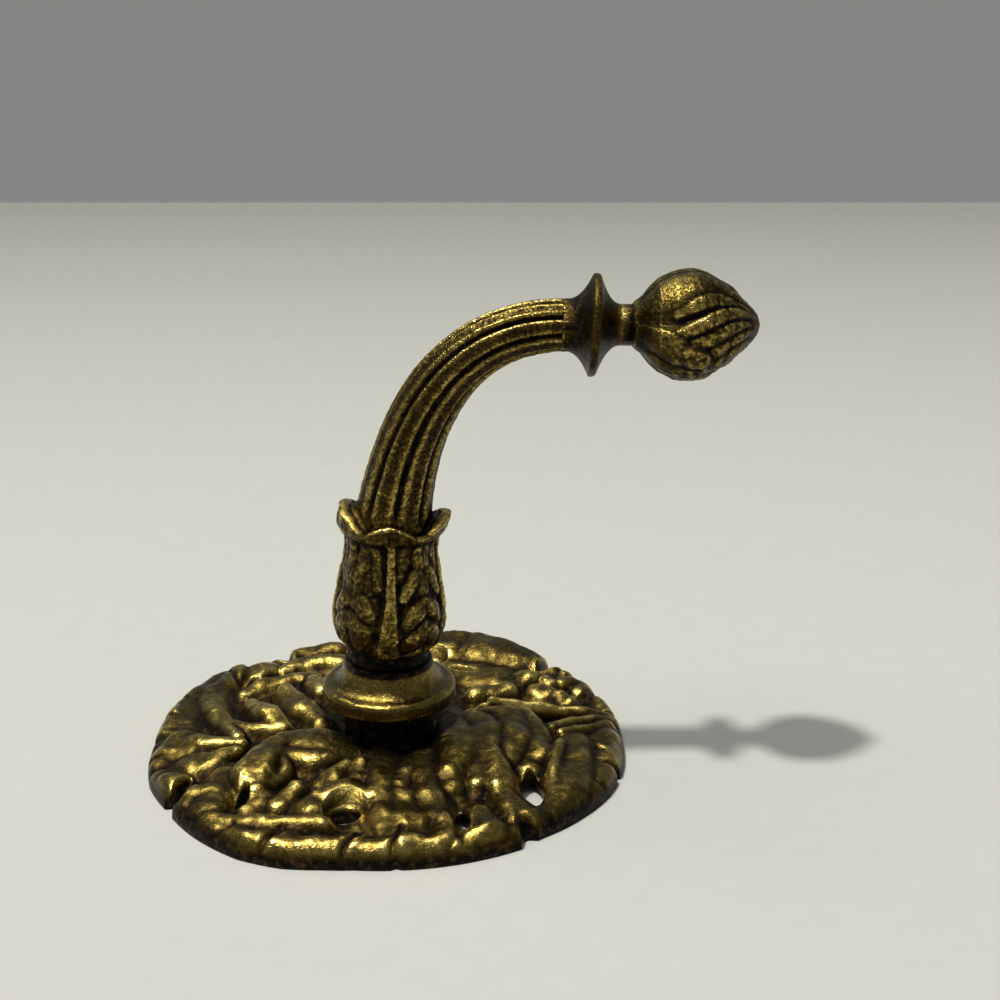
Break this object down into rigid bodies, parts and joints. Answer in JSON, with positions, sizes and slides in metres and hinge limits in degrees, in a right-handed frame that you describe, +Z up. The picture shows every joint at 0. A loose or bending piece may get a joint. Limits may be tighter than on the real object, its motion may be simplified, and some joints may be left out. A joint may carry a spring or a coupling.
{
  "type": "ornamental wall hook",
  "caption": "Cast brass wall hook: a pierced acanthus rosette carries a turned collar and a curved fluted arm with a leafy calyx, a disc and a bud end.",
  "frame": {"origin": "centre of the rosette's flat back, on the wall face", "axes": "+Z away from the wall, +X the way the arm bends, +Y completes the frame; as pictured the hook lies on its back with +Z up"},
  "size_m": [0.0866, 0.07, 0.0727],
  "materials": {
    "rosette_brass": "aged gilt casting, dark in the recesses and bright gold on the crests",
    "collar_brass": "turned, aged gilt with fine turning marks",
    "arm_brass": "aged gilt casting with a fine pitted grain, darker than the rosette",
    "stud_brass": "plain turned brass with a rolled thread, tarnished",
    "nut_brass": "plain milled brass, tarnished"
  },
  "bodies": {
    "root": {"rosette": "rosette_brass", "collar": "collar_brass", "arm": "arm_brass", "stud": "stud_brass", "nut": "nut_brass"}
  },
  "joints": []
}
